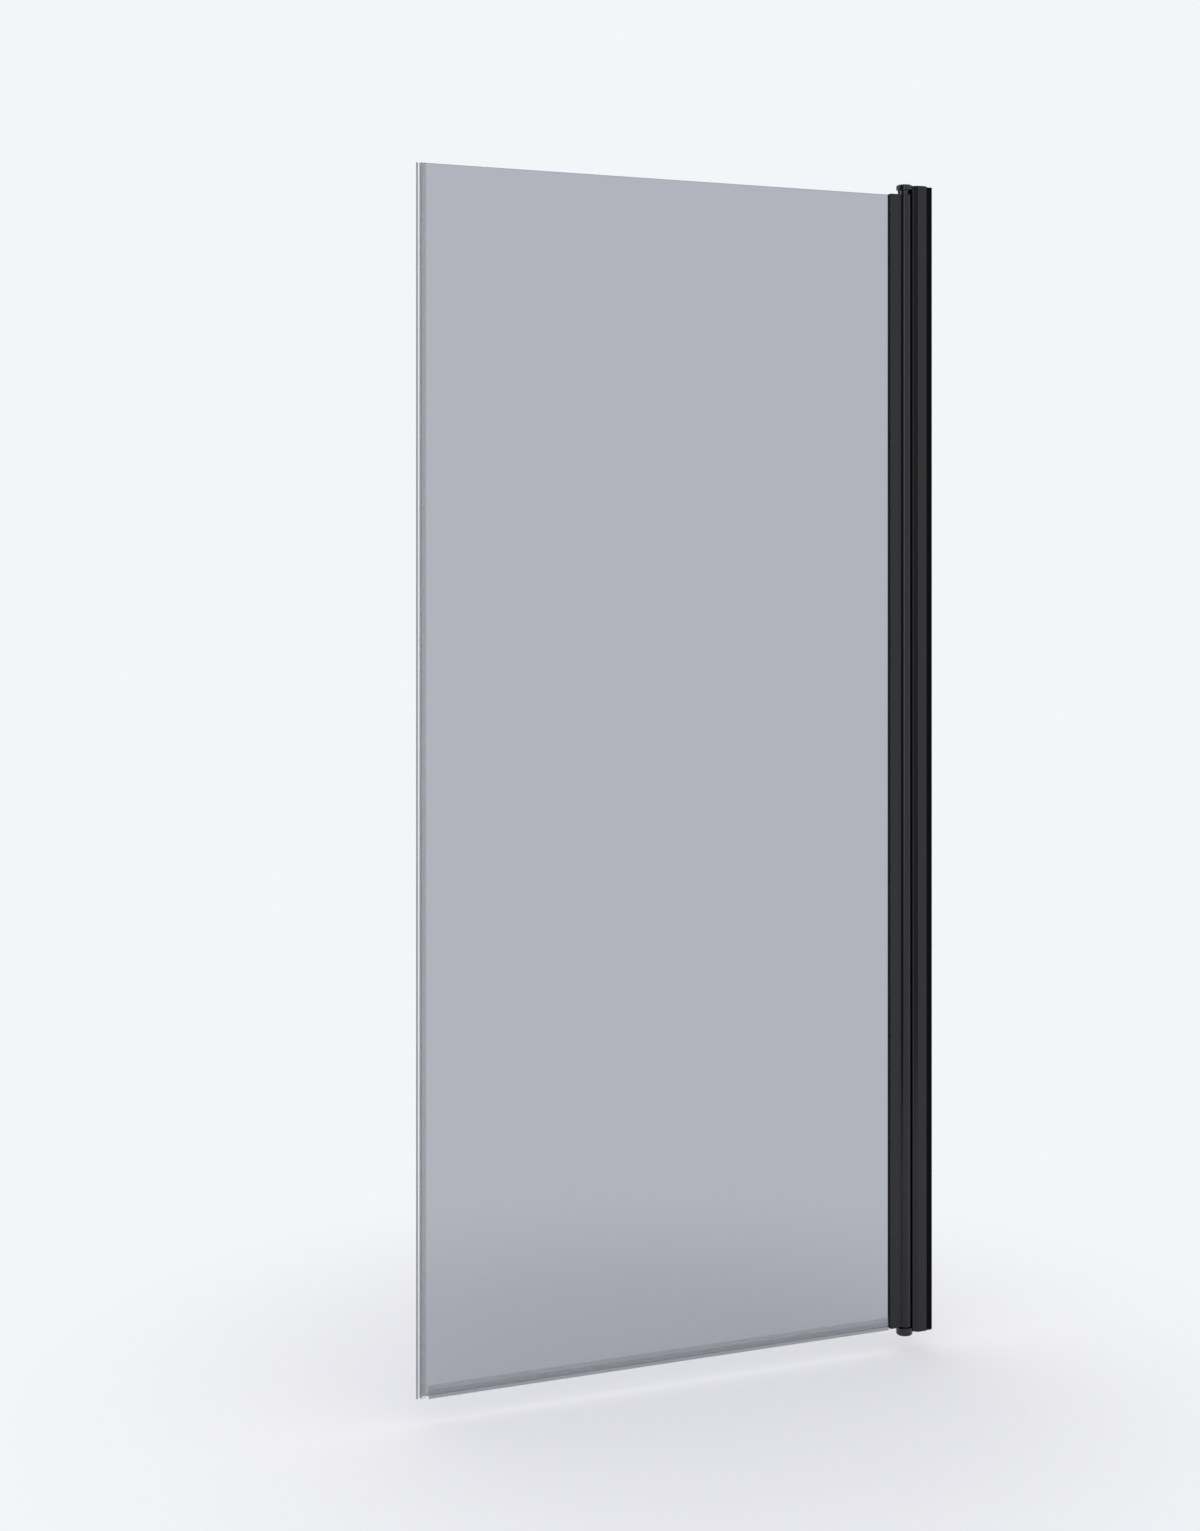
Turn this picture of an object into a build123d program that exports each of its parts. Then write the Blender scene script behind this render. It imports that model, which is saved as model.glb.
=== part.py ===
from build123d import *
import math
import os

os.makedirs("parts", exist_ok=True)

# Frame: X = 0 is the wall, and the closed door reaches to -X. -Y is the outside of the shower.
# Z = 0 is the lower end of the two wall extrusions, and the plate of the bottom cap lies under it.

# Whole door
POST_HEIGHT = 1900.0        # over the plates of its two caps
DOOR_WIDTH = 895.0          # wall to the tip of the edge seal
FIT_GAP = 0.05              # between pieces that are pushed, clipped or run into each other
SWING_DEG = 90.0            # closed to fully open
LIFT = 6.0                  # rise of the door leaf over the whole swing

# Wall channel
CHANNEL_WIDTH = 20.8        # across its two legs, along Y
CHANNEL_DEPTH = 22.0
CHANNEL_BASE = 2.0
CHANNEL_LEG = 1.6
CHANNEL_SHOW = 11.0         # stays in sight between the wall and the post
SEALANT_GROOVE_WIDTH = 1.2
SEALANT_GROOVE_DEPTH = 0.5
SEALANT_GROOVE_PITCH = 13.0
WALL_HOLE_RADIUS = 2.5
WALL_HOLE_COUNT = 4
WALL_HOLE_END = 100.0       # end holes to the ends of the channel

# Hinge post
POST_SLIDE_GAP = 0.1        # per side, between the channel and the post
SLEEVE_WALL = 1.9
SLEEVE_DEPTH = 16.2
WEB = 1.8
SEAT_DEPTH = 5.55           # metal between the sleeve and the round seat
SEAT_GAP = 2.6              # between the leaf's tube and the round seat
LAND_WIDTH = 15.2           # over the flat lands beside the seat, along Y
LAND_DEPTH = 1.95           # of each land, along X
PORT_RADIUS = 1.45          # core of a screw port
PORT_SETBACK = 2.1          # port axis behind the sleeve's end face
PORT_PITCH = 8.4
SEAL_GROOVE_MOUTH = 1.4
SEAL_GROOVE_WIDTH = 3.0
SEAL_GROOVE_STEP = 1.2      # depth of the groove's mouth, and of its wide part
PROFILE_ROUND = 1.0         # long outer corners of the extrusions

# Lock screws and their covers
LOCK_COUNT = 3
LOCK_END = 130.0
LOCK_FROM_WALL = 17.5
LOCK_RADIUS = 1.9
LOCK_LENGTH = 7.5
LOCK_HEAD_RADIUS = 3.6
LOCK_HEAD_HEIGHT = 2.2
COVER_RADIUS = 5.2
COVER_HEIGHT = 3.6
COVER_WALL = 1.0

# Caps of the post
TOP_PLATE = 1.6
BOTTOM_PLATE = 2.4
PLATE_ROUND = 1.2
WALL_GAP = 0.3              # between the bottom cap's tongue and the wall
NOSE_GAP = 0.3              # between the round noses and the seat
TOP_NOSE_RISE = 1.4         # above the plate
TOP_NOSE_HEIGHT = 9.5
TOP_NOSE_CROWN = 4.0        # rounding of its upper edge
TOP_NOSE_UNDERCUT = 2.0     # rounding of its lower edge
BOTTOM_NOSE_DROP = 7.0      # below the lower end of the channel
BOTTOM_NOSE_TOP = 6.0
BOTTOM_NOSE_ROUND = 3.0     # rounding of its lower edge
BOTTOM_NOSE_RIM = 0.6       # rounding of its upper edge
SPLASH_LIP_WALL = 0.9       # hangs from the top nose, behind the neck
SPLASH_LIP_DROP = 10.0
SPLASH_LIP_REACH = 4.9      # past the pivot axis, towards the leaf
CAP_SCREW_RADIUS = 1.4
CAP_SCREW_LENGTH = 16.0
CAP_SCREW_HEAD_RADIUS = 2.6
SCREW_SINK = 0.1            # screw heads lie this far below the caps
NECK_HEIGHT = 8.3
NECK_TOP_RADIUS = 7.8
NECK_FOOT_RADIUS = 6.7

# Door leaf profile
TUBE_RADIUS = 11.2
TUBE_WALL = 1.4
LEAF_FOOT = 7.6             # height of its lower end
LEAF_TOP_CLEARANCE = 7.3    # below the nose of the top cap
END_COVER = 1.2
END_COVER_ROUND = 0.9
LEAF_NECK_WIDTH = 12.0
CLAMP_START = 13.2          # pivot axis to the near end of the glass clamp
CLAMP_LENGTH = 17.4
CLAMP_WALL = 2.2
CLAMP_SHOULDER = 2.2        # rounding of the corners towards the tube
BACK_LIP_SETBACK = 2.0      # the clamp's back wall ends this much short of the front one
SLOT_DEPTH = 13.7
PEG_PORT_OFFSET = 13.6      # pivot axis to the port for the end covers' pegs
PEG_LENGTH = 9.0

# Glass and what clamps it
GLASS_THICKNESS = 6.0
GLASS_FOOT_GAP = 1.4        # lower edge above the lower end cover
GLASS_ARRIS = 0.6
PACKER_THICKNESS = 2.0
PACKER_LENGTH = 60.0
PACKER_COUNT = 3
PACKER_END = 250.0
FRONT_GASKET = 3.1          # thickness
BACK_GASKET = 1.6
GASKET_LIP = 0.8            # stands out of the slot
GASKET_LIP_TAPER = 0.9
STRIP_THICKNESS = 1.5
STRIP_SETBACK = 1.0         # behind the mouth of the slot
STRIP_END_GAP = 12.0
GRUB_RADIUS = 2.0
GRUB_COUNT = 6
GRUB_END = 110.0
GRUB_SETBACK = 6.4          # behind the mouth of the slot
GRUB_SOCKET = 1.1           # radius over the corners of the hexagon
GRUB_SOCKET_DEPTH = 1.2
GRUB_SINK = 0.2

# Pivots and rising hinge
PIN_RADIUS = 4.0
PIN_FOOT = 3.0              # above the underside of the bottom nose
PIN_TOP = 48.0
CAM_TO_TUBE = 0.6           # between the lower cam and the tube
CAM_HEIGHT = 18.0           # where the sloping face crosses the axis
CAM_GAP = 0.1
CAM_KEY_WIDTH = 12.0
CAM_KEY_DEPTH = 3.0
FOLLOWER_TOP = 44.0
BUSH_WALL = 1.3
BUSH_LENGTH = 13.0
CLIP_THICKNESS = 0.8
CLIP_GROOVE_DEPTH = 0.5
CLIP_OUTER_RADIUS = 5.0
END_FLOAT = 0.2             # axial play of the spindle
SHOULDER_RADIUS = 5.0
SHOULDER_HEIGHT = 3.0
SHANK_WIDTH = 7.0
SHANK_LENGTH = 34.0
GUIDE_LENGTH = 26.0
GUIDE_MARGIN = 1.0          # left above the guide when the leaf is fully up

# Seals
POST_SEAL_GAP = 0.35        # lip to tube
POST_SEAL_LIP = 0.9
EDGE_SEAL_REACH = 7.4       # tip of the bead beyond the glass
EDGE_SEAL_WALL = 0.9
EDGE_SEAL_WING = 8.0        # grip on the glass
EDGE_SEAL_FIN = 1.0         # thickness of the web to the bead
EDGE_SEAL_BEAD = 1.6        # radius of the bead that closes against the wall or a fixed pane
EDGE_SEAL_FOOT_DROP = 3.6   # below the lower edge of the glass
BOTTOM_SEAL_GAP = 3.5       # from the wings of the edge seal
BOTTOM_SEAL_END_GAP = 0.4   # from the gasket lip
BOTTOM_SEAL_BASE = 1.2
BOTTOM_SEAL_RISE = 14.0     # wings above the lower edge of the glass
BOTTOM_SEAL_STEP = 7.0      # height of the thick part of the wings
BOTTOM_SEAL_THIN = 0.7
BOTTOM_SEAL_THICK = 1.1
WIPER_DROP = 3.8            # below the base of the seal
WIPER_THICKNESS = 0.9
DRIP_LIP_REACH = 5.0        # towards the inside of the shower

# Places worked out from the sizes
SLEEVE_INSIDE = CHANNEL_WIDTH / 2 + POST_SLIDE_GAP
SLEEVE_HALF = SLEEVE_INSIDE + SLEEVE_WALL
SLEEVE_START_X = -CHANNEL_SHOW
SLEEVE_END_X = SLEEVE_START_X - SLEEVE_DEPTH
TUBE_BORE = TUBE_RADIUS - TUBE_WALL
SEAT_RADIUS = TUBE_RADIUS + SEAT_GAP
SEAT_X = SLEEVE_END_X - SEAT_DEPTH
PIVOT_X = SEAT_X - SEAT_RADIUS
LAND_X = PIVOT_X + math.sqrt(SEAT_RADIUS ** 2 - (LAND_WIDTH / 2) ** 2) + LAND_DEPTH
NOSE_RADIUS = SEAT_RADIUS - NOSE_GAP
PORT_X = SLEEVE_END_X - PORT_SETBACK
PROFILE_LENGTH = POST_HEIGHT - TOP_PLATE - BOTTOM_PLATE
CAP_TOP_Z = PROFILE_LENGTH + TOP_PLATE
NOSE_TOP_Z = CAP_TOP_Z + TOP_NOSE_RISE
NOSE_FOOT_Z = NOSE_TOP_Z - TOP_NOSE_HEIGHT
NECK_FOOT_Z = NOSE_FOOT_Z - NECK_HEIGHT
LEAF_TOP_Z = NOSE_FOOT_Z - LEAF_TOP_CLEARANCE
LEAF_EXTRUSION_FOOT = LEAF_FOOT + END_COVER
LEAF_EXTRUSION_TOP = LEAF_TOP_Z - END_COVER
CLAMP_NEAR_X = PIVOT_X - CLAMP_START
CLAMP_MOUTH_X = CLAMP_NEAR_X - CLAMP_LENGTH
BACK_MOUTH_X = CLAMP_MOUTH_X + BACK_LIP_SETBACK
SLOT_FLOOR_X = CLAMP_MOUTH_X + SLOT_DEPTH
PEG_PORT_X = PIVOT_X - PEG_PORT_OFFSET
GLASS_HALF = GLASS_THICKNESS / 2
GRIP_HALF = GLASS_HALF + FIT_GAP
SLOT_FRONT_Y = -GLASS_HALF - FRONT_GASKET
SLOT_BACK_Y = GLASS_HALF + BACK_GASKET + STRIP_THICKNESS
CLAMP_FRONT_Y = SLOT_FRONT_Y - CLAMP_WALL
CLAMP_BACK_Y = SLOT_BACK_Y + CLAMP_WALL
GLASS_NEAR_X = SLOT_FLOOR_X - PACKER_THICKNESS
GLASS_FREE_X = -DOOR_WIDTH + EDGE_SEAL_REACH
GLASS_FOOT_Z = LEAF_EXTRUSION_FOOT + GLASS_FOOT_GAP
GLASS_TOP_Z = LEAF_EXTRUSION_TOP
CAM_RADIUS = TUBE_BORE - CAM_TO_TUBE
CAM_SLOPE = LIFT / (math.radians(SWING_DEG) * CAM_RADIUS)
BUSH_RADIUS = PIN_RADIUS + FIT_GAP + BUSH_WALL
BUSH_TOP_Z = NECK_FOOT_Z + BUSH_LENGTH
CLIP_FOOT_Z = BUSH_TOP_Z + END_FLOAT
SHOULDER_TOP_Z = NECK_FOOT_Z - END_FLOAT
SHOULDER_FOOT_Z = SHOULDER_TOP_Z - SHOULDER_HEIGHT
GUIDE_TOP_Z = SHOULDER_FOOT_Z - LIFT - GUIDE_MARGIN
PLUG_RADIUS = TUBE_BORE - FIT_GAP
PIVOT_AXIS = Axis((PIVOT_X, 0, 0), (0, 0, 1))
PIVOT_SIDE = Plane(origin=(PIVOT_X, 0, 0), x_dir=(1, 0, 0), z_dir=(0, -1, 0))


def even_spread(count, start, stop):
    """Heights of equally spaced fixings, the first and last at the two ends."""
    return [start + (stop - start) * i / max(count - 1, 1) for i in range(count)]


def turned_face(*points):
    """A half section of a turned piece, as radius and height, on the plane of the pivot axis."""
    with BuildSketch(PIVOT_SIDE) as half_section:
        with BuildLine():
            Polyline(*points, close=True)
        make_face()
    return half_section.sketch


def box_section(x_low, x_high, y_low, y_high, mode=Mode.ADD):
    """A rectangle between two corners, in the sketch that is open."""
    with Locations(((x_low + x_high) / 2, (y_low + y_high) / 2)):
        Rectangle(x_high - x_low, y_high - y_low, mode=mode)


def facing_planes(x, y, heights):
    """Planes at one place in the section, at each height, that face the inside of the shower."""
    return [Plane(origin=(x, y, z), z_dir=(0, 1, 0)) for z in heights]


WALL_HOLE_HEIGHTS = even_spread(WALL_HOLE_COUNT, WALL_HOLE_END, PROFILE_LENGTH - WALL_HOLE_END)
LOCK_HEIGHTS = even_spread(LOCK_COUNT, LOCK_END, PROFILE_LENGTH - LOCK_END)
GRUB_HEIGHTS = even_spread(GRUB_COUNT, GRUB_END, PROFILE_LENGTH - GRUB_END)
PACKER_HEIGHTS = even_spread(PACKER_COUNT, PACKER_END, PROFILE_LENGTH - PACKER_END)
WALL_HOLE_PLANES = [Plane(origin=(-CHANNEL_BASE, 0, z), z_dir=(-1, 0, 0)) for z in WALL_HOLE_HEIGHTS]
LOCK_PLANES = facing_planes(-LOCK_FROM_WALL, SLEEVE_HALF, LOCK_HEIGHTS)
GRUB_PLANES = facing_planes(CLAMP_MOUTH_X + GRUB_SETBACK, SLOT_BACK_Y, GRUB_HEIGHTS)
FROM_BASE = (Align.CENTER, Align.CENTER, Align.MIN)
FROM_TOP = (Align.CENTER, Align.CENTER, Align.MAX)


# Wall channel
with BuildPart() as wall_channel:
    with BuildSketch():
        box_section(-CHANNEL_DEPTH, 0, -CHANNEL_WIDTH / 2, CHANNEL_WIDTH / 2)
        inside_half = CHANNEL_WIDTH / 2 - CHANNEL_LEG
        box_section(-CHANNEL_DEPTH, -CHANNEL_BASE, -inside_half, inside_half, Mode.SUBTRACT)
        for side in (-1, 1):
            groove_y = side * SEALANT_GROOVE_PITCH / 2
            box_section(-SEALANT_GROOVE_DEPTH, 0, groove_y - SEALANT_GROOVE_WIDTH / 2,
                        groove_y + SEALANT_GROOVE_WIDTH / 2, Mode.SUBTRACT)
    extrude(amount=PROFILE_LENGTH)
    with Locations(*WALL_HOLE_PLANES):
        Hole(WALL_HOLE_RADIUS, CHANNEL_BASE)
    with Locations(*facing_planes(-LOCK_FROM_WALL, CHANNEL_WIDTH / 2, LOCK_HEIGHTS)):
        Hole(LOCK_RADIUS + FIT_GAP, CHANNEL_LEG)
wall_channel.part.label = "wall_channel"
export_step(wall_channel.part, "parts/wall_channel.step")


def post_outline():
    """Outer outline of the post: a sleeve over the channel that narrows to a round seat for the tube."""
    land_half = LAND_WIDTH / 2
    with BuildSketch() as outline:
        with BuildLine():
            Polyline((PIVOT_X, -land_half), (LAND_X, -land_half), (SLEEVE_END_X, -SLEEVE_HALF),
                     (SLEEVE_START_X, -SLEEVE_HALF), (SLEEVE_START_X, SLEEVE_HALF),
                     (SLEEVE_END_X, SLEEVE_HALF), (LAND_X, land_half), (PIVOT_X, land_half), close=True)
        make_face()
        fillet(outline.vertices().filter_by_position(Axis.X, SLEEVE_END_X, SLEEVE_START_X), PROFILE_ROUND)
    return outline.sketch


# Hinge post
with BuildPart() as hinge_post:
    with BuildSketch():
        add(post_outline())
        with Locations((PIVOT_X, 0)):
            Circle(SEAT_RADIUS, mode=Mode.SUBTRACT)
        box_section(SLEEVE_END_X + WEB, 0, -SLEEVE_INSIDE, SLEEVE_INSIDE, Mode.SUBTRACT)
        with Locations((PORT_X, 0)):
            with GridLocations(0, PORT_PITCH, 1, 2):
                Circle(PORT_RADIUS, mode=Mode.SUBTRACT)
        mouth_half, groove_half = SEAL_GROOVE_MOUTH / 2, SEAL_GROOVE_WIDTH / 2
        groove_x = SEAT_X + SEAL_GROOVE_STEP
        box_section(PIVOT_X, groove_x, -mouth_half, mouth_half, Mode.SUBTRACT)
        box_section(groove_x, groove_x + SEAL_GROOVE_STEP, -groove_half, groove_half, Mode.SUBTRACT)
    extrude(amount=PROFILE_LENGTH)
    with Locations(*LOCK_PLANES):
        Hole(LOCK_RADIUS + 2 * FIT_GAP, SLEEVE_WALL)
hinge_post.part.label = "hinge_post"
export_step(hinge_post.part, "parts/hinge_post.step")


# Screws that lock the post on the channel, on the inner side
with BuildPart() as lock_screws:
    with Locations(*LOCK_PLANES):
        Cylinder(LOCK_HEAD_RADIUS, LOCK_HEAD_HEIGHT, align=FROM_BASE)
        Cylinder(LOCK_RADIUS, LOCK_LENGTH, align=FROM_TOP)
    fillet(lock_screws.faces().filter_by(Axis.Y).group_by(Axis.Y)[-1].edges(), LOCK_HEAD_HEIGHT / 2)
    with BuildSketch(*[plane.offset(LOCK_HEAD_HEIGHT) for plane in LOCK_PLANES]):
        Rectangle(LOCK_HEAD_RADIUS, LOCK_HEAD_RADIUS / 5)
        Rectangle(LOCK_HEAD_RADIUS / 5, LOCK_HEAD_RADIUS)
    extrude(amount=-LOCK_HEAD_HEIGHT / 2, mode=Mode.SUBTRACT)
lock_screws.part.label = "lock_screws"
export_step(lock_screws.part, "parts/lock_screws.step")


# Snap-on covers over the lock screws
with BuildPart() as screw_covers:
    with Locations(*LOCK_PLANES):
        Cylinder(COVER_RADIUS, COVER_HEIGHT, align=FROM_BASE)
    fillet(screw_covers.faces().filter_by(Axis.Y).group_by(Axis.Y)[-1].edges(), COVER_WALL)
    with Locations(*LOCK_PLANES):
        Cylinder(COVER_RADIUS - COVER_WALL, COVER_HEIGHT - COVER_WALL, align=FROM_BASE, mode=Mode.SUBTRACT)
screw_covers.part.label = "screw_covers"
export_step(screw_covers.part, "parts/screw_covers.step")


# Soft lip in the round seat, which closes the gap to the tube
with BuildPart() as post_seal:
    with BuildSketch(Plane.XY.offset(BOTTOM_NOSE_TOP)):
        foot_half = SEAL_GROOVE_WIDTH / 2 - FIT_GAP
        lip_x = PIVOT_X + TUBE_RADIUS + POST_SEAL_GAP
        box_section(groove_x + FIT_GAP, groove_x + SEAL_GROOVE_STEP - FIT_GAP, -foot_half, foot_half)
        box_section(lip_x, groove_x + FIT_GAP, -POST_SEAL_LIP / 2, POST_SEAL_LIP / 2)
    extrude(amount=NOSE_FOOT_Z - BOTTOM_NOSE_TOP)
post_seal.part.label = "post_seal"
export_step(post_seal.part, "parts/post_seal.step")


def cap_plate_outline():
    """Outline of a plate that closes the post and joins the round nose to it."""
    with BuildSketch() as outline:
        add(post_outline())
        with Locations((PIVOT_X, 0)):
            Circle(NOSE_RADIUS)
    return outline.sketch


def nose_section(foot_z, top_z, foot_round, top_round):
    """Half section of a round nose, with its outer edges rounded."""
    with BuildSketch(PIVOT_SIDE) as section:
        box_section(0, NOSE_RADIUS, foot_z, top_z)
        fillet(section.vertices().sort_by(Axis.Y)[:2].sort_by(Axis.X)[-1], foot_round)
        fillet(section.vertices().sort_by(Axis.Y)[-2:].sort_by(Axis.X)[-1], top_round)
    return section.sketch


def cap_screw_holes(face_z, outward, plate):
    """Countersunk holes of the two cap screws, in the part that is open."""
    with Locations(Plane(origin=(PORT_X, 0, face_z), z_dir=(0, 0, outward))):
        with GridLocations(0, PORT_PITCH, 1, 2):
            CounterSinkHole(PORT_RADIUS, CAP_SCREW_HEAD_RADIUS + SCREW_SINK, plate)


# Top cap: plate over the post, round nose, the neck that holds the bush, and a splash lip behind it
with BuildPart() as top_cap:
    with BuildSketch(Plane.XY.offset(PROFILE_LENGTH)):
        add(cap_plate_outline())
    extrude(amount=TOP_PLATE)
    fillet(top_cap.faces().sort_by(Axis.Z)[-1].edges(), PLATE_ROUND)
    revolve(nose_section(NOSE_FOOT_Z, NOSE_TOP_Z, TOP_NOSE_UNDERCUT, TOP_NOSE_CROWN), axis=PIVOT_AXIS)
    neck = turned_face((0, NECK_FOOT_Z), (NECK_FOOT_RADIUS, NECK_FOOT_Z),
                       (NECK_TOP_RADIUS, NOSE_FOOT_Z), (0, NOSE_FOOT_Z))
    revolve(neck, axis=PIVOT_AXIS)
    lip_foot_z = NOSE_FOOT_Z + TOP_NOSE_UNDERCUT - SPLASH_LIP_DROP
    with BuildSketch(Plane.XY.offset(lip_foot_z)):
        with Locations((PIVOT_X, 0)):
            Circle(NOSE_RADIUS)
            Circle(NOSE_RADIUS - SPLASH_LIP_WALL, mode=Mode.SUBTRACT)
        box_section(PIVOT_X - SPLASH_LIP_REACH, LAND_X - LAND_DEPTH, 0, NOSE_RADIUS, Mode.INTERSECT)
    extrude(amount=SPLASH_LIP_DROP)
    with Locations((PIVOT_X, 0, NECK_FOOT_Z)):
        bore_length = CLIP_FOOT_Z + CLIP_THICKNESS + END_FLOAT - NECK_FOOT_Z
        Cylinder(BUSH_RADIUS + FIT_GAP, bore_length, align=FROM_BASE, mode=Mode.SUBTRACT)
    cap_screw_holes(CAP_TOP_Z, 1, TOP_PLATE)
top_cap.part.label = "top_cap"
export_step(top_cap.part, "parts/top_cap.step")


# Tongue of the bottom cap, which runs on from its plate under the channel
with BuildPart() as cap_tongue:
    with BuildSketch():
        box_section(SLEEVE_END_X, -WALL_GAP, -CHANNEL_WIDTH / 2, CHANNEL_WIDTH / 2)
    extrude(amount=-BOTTOM_PLATE)
    fillet(cap_tongue.faces().sort_by(Axis.Z)[0].edges().sort_by(Axis.X)[1:], PLATE_ROUND)


# Bottom cap: plate under the post, with the tongue, and a round nose for the pivot pin
with BuildPart() as bottom_cap:
    with BuildSketch():
        add(cap_plate_outline())
    extrude(amount=-BOTTOM_PLATE)
    fillet(bottom_cap.faces().sort_by(Axis.Z)[0].edges(), PLATE_ROUND)
    add(cap_tongue.part)
    nose = nose_section(-BOTTOM_NOSE_DROP, BOTTOM_NOSE_TOP, BOTTOM_NOSE_ROUND, BOTTOM_NOSE_RIM)
    revolve(nose, axis=PIVOT_AXIS)
    with BuildSketch(Plane.XY.offset(BOTTOM_NOSE_TOP)):
        with Locations((PIVOT_X, 0)):
            Rectangle(CAM_KEY_WIDTH + 2 * FIT_GAP, CAM_KEY_WIDTH + 2 * FIT_GAP)
    extrude(amount=-CAM_KEY_DEPTH - FIT_GAP, mode=Mode.SUBTRACT)
    with Locations((PIVOT_X, 0, PIN_FOOT - BOTTOM_NOSE_DROP)):
        Cylinder(PIN_RADIUS + FIT_GAP, BOTTOM_NOSE_TOP + BOTTOM_NOSE_DROP, align=FROM_BASE,
                 mode=Mode.SUBTRACT)
    cap_screw_holes(-BOTTOM_PLATE, -1, BOTTOM_PLATE)
bottom_cap.part.label = "bottom_cap"
export_step(bottom_cap.part, "parts/bottom_cap.step")


def cap_screws(face_z, outward):
    """Two countersunk screws through a cap into the post's ports."""
    head_z = face_z - outward * SCREW_SINK
    planes = [Plane(origin=(PORT_X, side * PORT_PITCH / 2, head_z), z_dir=(0, 0, outward))
              for side in (-1, 1)]
    head_height = CAP_SCREW_HEAD_RADIUS - CAP_SCREW_RADIUS
    with BuildPart() as screws:
        with Locations(*planes):
            Cylinder(CAP_SCREW_RADIUS, CAP_SCREW_LENGTH, align=FROM_TOP)
            Cone(CAP_SCREW_RADIUS, CAP_SCREW_HEAD_RADIUS, head_height, align=FROM_TOP)
        with BuildSketch(*planes):
            Rectangle(CAP_SCREW_HEAD_RADIUS, CAP_SCREW_HEAD_RADIUS / 5)
            Rectangle(CAP_SCREW_HEAD_RADIUS / 5, CAP_SCREW_HEAD_RADIUS)
        extrude(amount=-head_height / 2, mode=Mode.SUBTRACT)
    return screws.part


# Screws of the two caps
top_cap_screws = cap_screws(CAP_TOP_Z, 1)
top_cap_screws.label = "top_cap_screws"
export_step(top_cap_screws, "parts/top_cap_screws.step")

bottom_cap_screws = cap_screws(-BOTTOM_PLATE, -1)
bottom_cap_screws.label = "bottom_cap_screws"
export_step(bottom_cap_screws, "parts/bottom_cap_screws.step")


# Bearing bush in the neck of the top cap
with BuildPart() as top_bush:
    with BuildSketch(Plane.XY.offset(NECK_FOOT_Z)):
        with Locations((PIVOT_X, 0)):
            Circle(BUSH_RADIUS)
            Circle(PIN_RADIUS + FIT_GAP, mode=Mode.SUBTRACT)
    extrude(amount=BUSH_LENGTH)
top_bush.part.label = "top_bush"
export_step(top_bush.part, "parts/top_bush.step")


# Top spindle: turns in the bush, and its square shank drives and guides the leaf
with BuildPart() as top_spindle:
    clip_radius = PIN_RADIUS - CLIP_GROOVE_DEPTH
    clip_top = CLIP_FOOT_Z + CLIP_THICKNESS
    journal = turned_face((0, SHOULDER_FOOT_Z), (SHOULDER_RADIUS, SHOULDER_FOOT_Z),
                          (SHOULDER_RADIUS, SHOULDER_TOP_Z), (PIN_RADIUS, SHOULDER_TOP_Z),
                          (PIN_RADIUS, CLIP_FOOT_Z), (clip_radius, CLIP_FOOT_Z),
                          (clip_radius, clip_top), (0, clip_top))
    revolve(journal, axis=PIVOT_AXIS)
    with BuildSketch(Plane.XY.offset(SHOULDER_FOOT_Z)):
        with Locations((PIVOT_X, 0)):
            Rectangle(SHANK_WIDTH, SHANK_WIDTH)
    extrude(amount=-SHANK_LENGTH)
    chamfer(top_spindle.faces().sort_by(Axis.Z)[0].edges(), PROFILE_ROUND)
top_spindle.part.label = "top_spindle"
export_step(top_spindle.part, "parts/top_spindle.step")


# Retaining ring on the spindle, above the bush
with BuildPart() as spindle_clip:
    with BuildSketch(Plane.XY.offset(CLIP_FOOT_Z)):
        with Locations((PIVOT_X, 0)):
            Circle(CLIP_OUTER_RADIUS)
            Circle(clip_radius + FIT_GAP, mode=Mode.SUBTRACT)
    extrude(amount=CLIP_THICKNESS)
spindle_clip.part.label = "spindle_clip"
export_step(spindle_clip.part, "parts/spindle_clip.step")


# Bottom pivot pin, pressed into the nose of the bottom cap
with BuildPart() as bottom_pin:
    with BuildSketch(Plane.XY.offset(PIN_FOOT - BOTTOM_NOSE_DROP)):
        with Locations((PIVOT_X, 0)):
            Circle(PIN_RADIUS)
    extrude(amount=PIN_TOP - PIN_FOOT + BOTTOM_NOSE_DROP)
    chamfer(bottom_pin.faces().sort_by(Axis.Z)[-1].edges(), PROFILE_ROUND)
bottom_pin.part.label = "bottom_pin"
export_step(bottom_pin.part, "parts/bottom_pin.step")


# Sloping cams: the leaf's cam climbs the fixed one as the door turns, and its weight closes the door
CAM_FACE = Plane(origin=(PIVOT_X, 0, CAM_HEIGHT), z_dir=(CAM_SLOPE, 0, 1))
FOLLOWER_FACE = Plane(origin=(PIVOT_X, 0, CAM_HEIGHT + CAM_GAP), z_dir=(CAM_SLOPE, 0, 1))
with BuildPart() as fixed_cam:
    with BuildSketch(Plane.XY.offset(BOTTOM_NOSE_TOP)):
        with Locations((PIVOT_X, 0)):
            Circle(CAM_RADIUS)
    extrude(amount=2 * CAM_HEIGHT)
    split(bisect_by=CAM_FACE, keep=Keep.BOTTOM)
    with BuildSketch(Plane.XY.offset(BOTTOM_NOSE_TOP)):
        with Locations((PIVOT_X, 0)):
            Rectangle(CAM_KEY_WIDTH, CAM_KEY_WIDTH)
    extrude(amount=-CAM_KEY_DEPTH)
    with BuildSketch(Plane.XY.offset(BOTTOM_NOSE_TOP - CAM_KEY_DEPTH)):
        with Locations((PIVOT_X, 0)):
            Circle(PIN_RADIUS + FIT_GAP)
    extrude(amount=2 * CAM_HEIGHT, mode=Mode.SUBTRACT)
fixed_cam.part.label = "fixed_cam"
export_step(fixed_cam.part, "parts/fixed_cam.step")

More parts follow.
